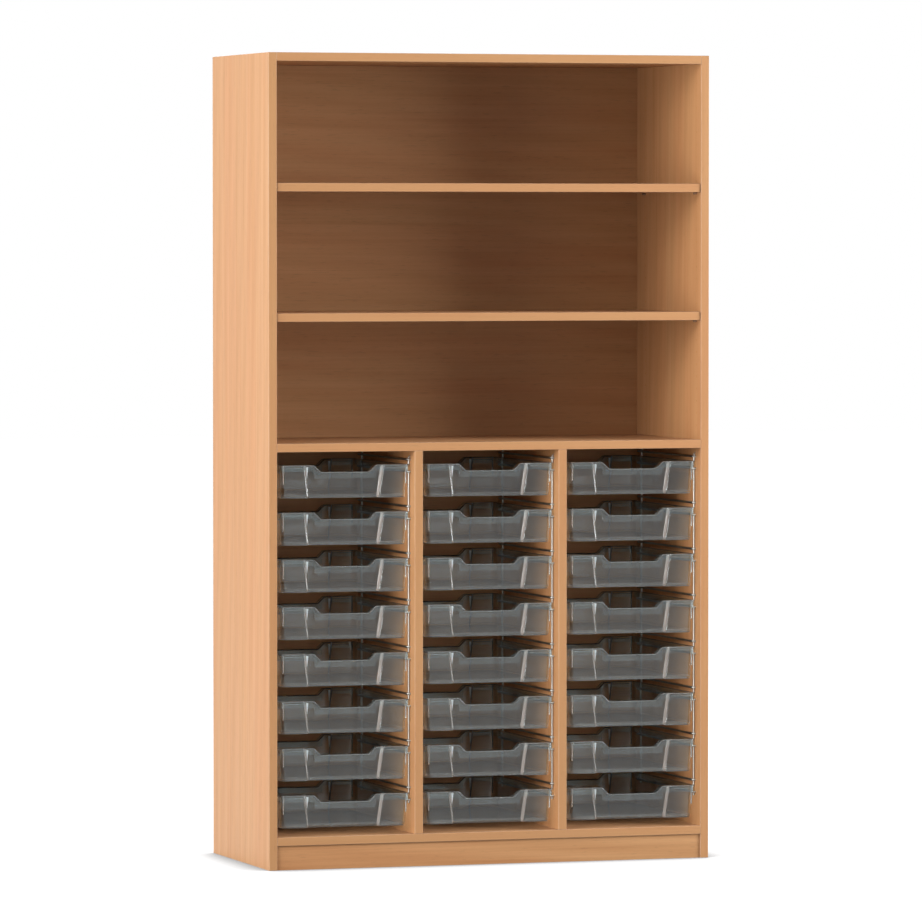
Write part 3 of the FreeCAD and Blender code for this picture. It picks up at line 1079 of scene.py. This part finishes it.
    def drop_skirt(self) -> None:
        """Hang the skirt from the rim, with a level lower edge under each dip."""
        self.bench.pick_open_edge()
        self.bench.grow(z=-self.skirt)
        shoulder = self.dip_flat + self.dip_slope
        self.bench.pick("VERT", lambda v: v.is_boundary and abs(v.co.x) < shoulder
                        and abs(v.co.y) > self.END_SKIRT_Y)
        level = Vector((0, 0, -self.dip - self.skirt))
        bpy.ops.transform.resize(value=(1.0, 1.0, 0.0), center_override=level)

    def from_rim_outline(self, spot: Vector) -> float:
        """Distance in plan from the rim's rounded outline.

        Args:
            spot: a point.

        Returns:
            The distance, nothing on the outline itself.
        """
        x = abs(spot.x) - (self.width / 2 - self.rim_radius)
        y = abs(spot.y) - (self.depth / 2 - self.rim_radius)
        outside = math.hypot(max(x, 0.0), max(y, 0.0))
        return abs(outside + min(max(x, y), 0.0) - self.rim_radius)

    def round_edges(self) -> None:
        """Round the rim, the mouth of the body and the stacking foot; rim, foot and flanks take
        paler finishes that paint highlights.
        """
        def sharp(edge: Edge, degrees: float) -> bool:
            """Says whether two faces meet at more than an angle."""
            return len(edge.link_faces) == 2 and edge.calc_face_angle(0.0) > math.radians(degrees)

        def middle(edge: Edge) -> Vector:
            """The middle of an edge."""
            return (edge.verts[0].co + edge.verts[1].co) / 2

        def on_rim(edge: Edge) -> bool:
            """Says whether an edge is where the rim turns down to the skirt."""
            return sharp(edge, self.TURNED_DOWN) and self.from_rim_outline(middle(edge)) < 4 * TOUCH

        def on_mouth(edge: Edge) -> bool:
            """Says whether an edge is where the rim turns down into the body."""
            inside = self.from_rim_outline(middle(edge)) > 4 * MM
            return sharp(edge, self.TURNED_DOWN) and inside and middle(edge).z > self.MOUTH_Z

        def on_foot(edge: Edge) -> bool:
            """Says whether an edge runs level round the stacking foot."""
            level = abs(edge.verts[0].co.z - edge.verts[1].co.z) < TOUCH
            return sharp(edge, 8.0) and middle(edge).z < self.FOOT_Z and level

        def on_flank(face: Face) -> bool:
            """Says whether a face is in a recess's flank or its inner rounding.

            Args:
                face: a face of the tray.

            Returns:
                True where it is.
            """
            spot, way = face.calc_center_median(), face.normal
            beside = (self.FLANK_X[0] < abs(spot.x) < self.FLANK_X[1]
                      and self.FLANK_Y[0] < abs(spot.y) < self.FLANK_Y[1])
            return beside and abs(way.z) < 0.4 and abs(way.x) > 0.35

        bench = self.bench
        bench.pick("EDGE", on_rim)
        bench.ease(self.rim_ease, 3)
        # Painted highlight: the rounded rim takes the paler edge finish.
        bench.dress(TrayPart.EDGE)
        bench.pick("EDGE", on_mouth)
        bench.ease(self.mouth_ease, 3)
        bench.pick("EDGE", on_foot)
        bench.ease(0.5 * MM, 2)
        # Painted highlight: the foot's rounding takes the paler edge finish.
        bench.dress(TrayPart.EDGE)
        bench.pick("FACE", on_flank)
        # Painted highlight: the flanks take the beige flank finish.
        bench.dress(TrayPart.FLANK_HIGHLIGHT)

    def ribs(self, plastic: Material) -> list[Piece]:
        """Upright ribs between skirt and body, and a level bead on the skirt.

        Args:
            plastic: the paler finish of the tray's edges, which paints highlight lines on ribs and
                beads.

        Returns:
            Four ribs and four beads.
        """
        pieces = []
        rib_x = self.width / 2 - self.rib_inset
        rib_y = self.depth / 2 - self.wall - self.rib_reach / 2
        bead = rib_x - self.bead_start
        bead_x = self.bead_start + bead / 2
        bead_y = self.depth / 2 - self.wall - 0.3 * MM
        for side_x in (-1, 1):
            for side_y in (-1, 1):
                spot = Vector((side_x * rib_x, side_y * rib_y, -self.wall - self.rib / 2))
                rib = self.bar(spot, Vector((self.wall, self.rib_reach, self.rib)))
                with Bench(rib).work() as bench:
                    bench.pick("VERT", lambda v: v.co.z < -self.rib and side_y * v.co.y > rib_y)
                    bench.pull(y=-side_y * self.rib_lean)
                spot = Vector((side_x * bead_x, side_y * bead_y, -self.bead_drop))
                size = Vector((bead, self.bead_width, self.bead_height))
                pieces += [rib, self.bar(spot, size)]
        for piece in pieces:
            piece.data.materials.append(plastic)
        return pieces

    def highlight_drops(self, plastic: Material) -> list[Piece]:
        """Near-white cones in one inner corner of each finger recess: a painted highlight.

        Args:
            plastic: the near-white finish that paints the highlight.

        Returns:
            The front drop and the rear drop, half a turn apart.
        """
        pieces = []
        bed_y = self.depth / 2 - self.rim_width - self.recess_depth
        top = -self.drop_start
        for side in (-1, 1):
            spot = Vector((side * self.drop_x, side * bed_y, top - self.highlight_drop / 2))
            bpy.ops.mesh.primitive_cone_add(
                vertices=16, radius1=0.5 * MM, radius2=self.drop_radius, depth=self.highlight_drop,
                location=spot)
            piece = taken_up()
            with Bench(piece).work() as bench:
                bench.pick("EDGE", lambda e: all(abs(v.co.z - top) < TOUCH for v in e.verts))
                bench.ease(self.drop_radius / 2, 3)
            smooth(piece, 40.0)
            piece.data.materials.append(plastic)
            pieces.append(piece)
        return pieces

    def bar(self, spot: Vector, size: Vector) -> Piece:
        """A slim bar with its long edges rounded.

        Args:
            spot: its middle.
            size: its sides.

        Returns:
            The bar.
        """
        bpy.ops.mesh.primitive_cube_add(size=1.0, location=spot)
        bar = taken_up(size)
        with Bench(bar).work() as bench:
            bench.pick("EDGE", lambda edge: edge.calc_length() > 20 * MM)
            bench.ease(min(size) / 4, 2)
        return bar

    def build(self) -> int:
        """Mould one tray and set a copy in every place of the frame.

        Returns:
            How many trays stand.
        """
        pattern = self.mould()
        for column in COLUMNS:
            for row in range(1, ROWS + 1):
                node = f"tray_{column}_{row}"
                low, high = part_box(node)
                place = Vector(((low.x + high.x) / 2, (low.y + high.y) / 2, high.z))
                tray = copied(pattern, f"{column}_tray_{row}", place)
                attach(tray, node)
                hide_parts(node)
        discard(pattern)
        return len(COLUMNS) * ROWS


# ----------------------------------------------------------------- racks
@dataclass
class WireRack:
    """Chromed wire racks: uprights with pegs, and paired runners."""

    wire: float = 5.0 * MM
    sides: int = 12
    bend: float = 6.0 * MM
    bend_steps: int = 5
    tail: float = 10.0 * MM
    overrun: float = 8.0 * MM
    peg: float = 7.5 * MM
    tilt_z: float = 10.0 * MM
    carry_z: float = -17.7 * MM
    front_upright_y: float = -0.191
    rear_upright_y: float = 0.170
    runner_bend_y: float = -0.196
    weld_size: Triple = (1.3 * MM, 2.6 * MM, 2.6 * MM)
    chrome: PlatedSteel = PlatedSteel("Chromed wire", (0.46, 0.44, 0.41), 0.24)

    def bent_wire(self, start: Vector, corner: Vector, end: Vector) -> Piece:
        """Bend a length of round wire once, at a right angle.

        Args:
            start: centre of the first end.
            corner: where the two runs would meet.
            end: centre of the second end.

        Returns:
            The wire.
        """
        first = (corner - start).normalized()
        second = (end - corner).normalized()
        bend_start = corner - first * self.bend
        bpy.ops.mesh.primitive_circle_add(
            vertices=self.sides, radius=self.wire / 2, location=start,
            rotation=first.to_track_quat("Z", "Y").to_euler())
        wire = taken_up()
        with Bench(wire).work() as bench:
            bench.pick("EDGE", lambda edge: True)
            bench.grow(*(bend_start - start))
            centre = bend_start + second * self.bend
            bpy.ops.mesh.spin(steps=self.bend_steps, angle=math.pi / 2, center=centre,
                              axis=second.cross(first))
            bench.grow(*(end - corner - second * self.bend))
            for spot in (start, end):
                bench.pick("EDGE", lambda edge: edge.is_boundary and all(
                    (v.co - spot).length < self.wire for v in edge.verts))
                bpy.ops.mesh.edge_face_add()
            bpy.ops.mesh.select_all(action="SELECT")
            bpy.ops.mesh.normals_make_consistent(inside=False)
        return wire

    def rack(self, hand: Hand, heights: list[float]) -> Piece:
        """Weld up one rack against a face at x = 0.

        Args:
            hand: which side of the column it stands on.
            heights: z of the rims of the column's trays, the highest first.

        Returns:
            The rack.
        """
        inward = hand.value
        upright_x = inward * self.wire / 2
        runner_x = upright_x + inward * self.wire
        head_z = heights[0] + self.tilt_z + self.overrun
        foot_z = heights[-1] + self.carry_z - self.overrun
        parts = []
        for y in (self.front_upright_y, self.rear_upright_y):
            foot = Vector((upright_x, y, foot_z))
            head = Vector((upright_x, y, head_z))
            parts.append(self.bent_wire(foot, head, Vector((-inward * self.peg, y, head_z))))
        tail = Vector((runner_x, self.rear_upright_y + self.tail, 0))
        turn = Vector((runner_x, self.runner_bend_y, 0))
        runner = self.bent_wire(tail, turn, Vector((0, self.runner_bend_y, 0)))
        weld_x = upright_x + inward * self.wire / 2
        bpy.ops.mesh.primitive_ico_sphere_add(subdivisions=2, radius=1.0, location=(weld_x, 0, 0))
        bead = taken_up(self.weld_size)
        for rim_z in heights:
            for offset in (self.tilt_z, self.carry_z):
                parts.append(copied(runner, "runner", Vector((0, 0, rim_z + offset))))
                for y in (self.front_upright_y, self.rear_upright_y):
                    parts.append(copied(bead, "bead", Vector((0, y, rim_z + offset))))
        discard(runner)
        discard(bead)
        rack = joined(parts, "rack_pattern")
        smooth(rack, 50.0)
        return rack

    def build(self) -> int:
        """Weld a rack of each hand and copy it to every column.

        Returns:
            How many racks stand.
        """
        chrome = self.chrome.material()
        heights = [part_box(f"tray_left_{row}")[1].z for row in range(1, ROWS + 1)]
        for hand in Hand:
            side = hand.name.lower()
            pattern = self.rack(hand, heights)
            pattern.data.materials.append(chrome)
            for column in COLUMNS:
                node = f"{column}_column_{side}_rack"
                low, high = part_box(node)
                face_x = low.x + self.peg if hand is Hand.LEFT else high.x - self.peg
                rack = copied(pattern, f"{column}_wires_{side}", Vector((face_x, 0, 0)))
                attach(rack, "cabinet")
                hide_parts(node)
            discard(pattern)
        return len(COLUMNS) * len(Hand)


# ---------------------------------------------------------------- studio
@dataclass
class Studio:
    """Pale floor, white surroundings, soft lamps and the camera."""

    ambient: float = 0.03
    lamp_spread: float = 0.5
    middle_height: float = 0.9
    floor_half: float = 30.0
    floor_tones: tuple[Colour, Colour] = ((0.27, 0.27, 0.27), (0.31, 0.31, 0.31))
    floor_glow: float = 0.95
    fade_start: float = 1.2
    fade_end: float = 4.0
    # Painted contact shadow near the unit: ambient occlusion's reach, the occlusion range it spans
    # and its dimmest glow.
    contact_reach: float = 0.11
    contact_range: tuple[float, float] = (0.35, 0.97)
    contact_glow: float = 0.22
    focal_length: float = 262.6
    camera_spot: Triple = (-4.7673, -14.7203, 1.4461)
    camera_drop: float = 1.985
    camera_turn: float = 17.954

    # Name, degrees right of the front, degrees up, distance and watts.
    LAMPS = (
        ("left", -73.0, 7.0, 5.8, 236.0),
        ("high_left", -47.0, 34.0, 6.0, 74.0),
        ("right", 62.0, 5.0, 4.4, 62.0),
        ("high_right", 60.0, 21.0, 4.4, 90.0),
        ("rear", 172.0, 42.0, 6.0, 220.0),
    )

    def lamp(self, name: str, turn: float, rise: float, distance: float, power: float) -> None:
        """Hang one square soft lamp that looks at the unit's middle.

        Args:
            name: the lamp's name.
            turn: degrees from straight in front, to the right.
            rise: degrees above the unit's middle.
            distance: how far it hangs from the unit's middle.
            power: its power in watts.
        """
        light = bpy.data.lights.new(name, "AREA")
        light.shape = "SQUARE"
        light.size = self.lamp_spread * distance
        light.energy = power
        holder = bpy.data.objects.new(name, light)
        turn, rise = math.radians(turn), math.radians(rise)
        flat = math.cos(rise)
        away = Vector((math.sin(turn) * flat, -math.cos(turn) * flat, math.sin(rise)))
        holder.location = Vector((0, 0, self.middle_height)) + away * distance
        holder.rotation_euler = away.to_track_quat("Z", "Y").to_euler()
        bpy.context.scene.collection.objects.link(holder)

    def surroundings(self) -> None:
        """White to look at or mirror, and an even soft light on the object."""
        world = bpy.data.worlds.new("Studio")
        bpy.context.scene.world = world
        world.use_nodes = True
        desk = NodeDesk(world.node_tree)
        strength = desk.add("MapRange", {0: desk.looked_at(), 3: self.ambient, 4: 1.0})
        desk.fill(world.node_tree.nodes["Background"],
                  {"Color": WHITE, "Strength": strength.outputs[0]})

    def ground(self) -> None:
        """A plain pale floor that fades to white, keeps the real shadow and has a painted contact
        shadow.
        """
        bpy.ops.mesh.primitive_plane_add(size=2 * self.floor_half)
        floor = bpy.context.object
        floor.name = "studio_floor"
        material, desk, shader, place = new_material("Pale floor")
        mottle = desk.noise(place, (3.0, 3.0, 3.0), 3.0)
        desk.fill(shader, {"Base Color": desk.blend(mottle, *self.floor_tones),
                           "Roughness": 0.8, "Specular IOR Level": 0.0})
        reach = {"Distance": self.contact_reach}
        open_sky = desk.add("AmbientOcclusion", reach, samples=8).outputs["AO"]
        away = desk.add("VectorMath", {0: place}, operation="LENGTH").outputs["Value"]
        far_glow = desk.between(away, self.fade_start, self.fade_end, self.floor_glow, 1.0)
        # Painted contact shadow: the glow dims where ambient occlusion finds the unit close.
        lit = desk.times(desk.between(open_sky, *self.contact_range, self.contact_glow), far_glow)
        light = {"Color": WHITE, "Strength": desk.times(desk.looked_at(), lit)}
        glow = desk.add("Emission", light)
        whole = desk.add("AddShader", {0: shader.outputs[0], 1: glow.outputs[0]})
        output = material.node_tree.nodes["Material Output"]
        desk.fill(output, {"Surface": whole.outputs[0]})
        floor.data.materials.append(material)

    def camera(self) -> None:
        """Stand the camera far off, to the left of the front."""
        lens = bpy.data.cameras.new("Camera")
        lens.lens = self.focal_length
        lens.sensor_width = 36.0
        lens.clip_end = 200.0
        camera = bpy.data.objects.new("Camera", lens)
        camera.location = self.camera_spot
        camera.rotation_euler = (math.radians(90.0 - self.camera_drop), 0.0,
                                 math.radians(-self.camera_turn))
        bpy.context.scene.collection.objects.link(camera)
        bpy.context.scene.camera = camera

    def build(self) -> None:
        """Set the floor, surroundings, lamps and camera."""
        self.ground()
        self.surroundings()
        for lamp in self.LAMPS:
            self.lamp(*lamp)
        self.camera()
        bpy.context.scene.view_settings.view_transform = "Standard"


def dress_tongues() -> None:
    """Give the hidden joint tongues their own beech."""
    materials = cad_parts["joint_tongues"].data.materials
    materials.clear()
    timber = BeechFinish("Tongue beech", Grain.LEVEL, (0.9, 0.4, 0.2),
                         pale=paint(222, 176, 128), deep=paint(196, 146, 100))
    materials.append(timber.material())


def main() -> None:
    """Build the studio and every piece, in order, and report each."""
    logging.basicConfig(level=logging.INFO, format="%(name)s: %(message)s")
    Studio().build()
    log.info("studio set")
    log.info("%d boards and bands", BoardWork().build())
    dress_tongues()
    pins = ShelfPins().build()
    log.info("shelf pins: %d faces", len(pins.data.polygons))
    log.info("%d wire racks", WireRack().build())
    log.info("%d trays", TrayMould().build())
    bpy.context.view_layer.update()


if __name__ == "__main__":
    main()
